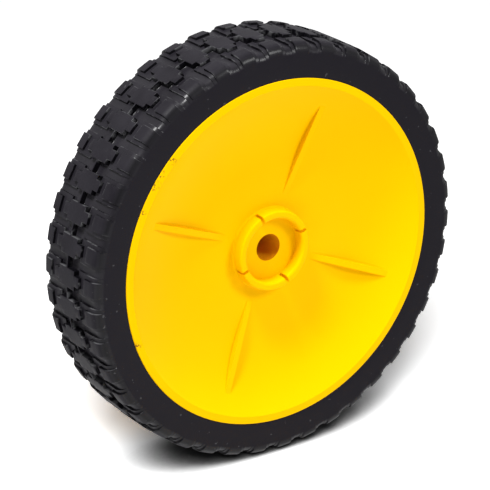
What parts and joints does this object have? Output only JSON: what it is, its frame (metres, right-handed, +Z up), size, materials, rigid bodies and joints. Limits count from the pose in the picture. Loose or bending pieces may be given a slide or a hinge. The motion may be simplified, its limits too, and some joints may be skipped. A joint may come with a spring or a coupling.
{
  "type": "drive wheel",
  "caption": "Garden machine drive wheel: a dished plastic wheel body with a plain axle bore and an internal drive gear, and a tyre with a block tread.",
  "frame": {"origin": "on the axle's centre line, in the middle of the tyre's width", "axes": "+Y along the axle, from the outboard face towards the machine; +Z up; +X to the right when the outboard face is looked at"},
  "size_m": [0.2032, 0.0486, 0.2032],
  "materials": {
    "tyre": "moulded rubber, satin, a little dusty on the tread tops",
    "body": "yellow moulded plastic, smooth, with small scuffs on the rim"
  },
  "bodies": {
    "root": {"tyre": "tyre", "wheel_body": "body"}
  },
  "joints": []
}
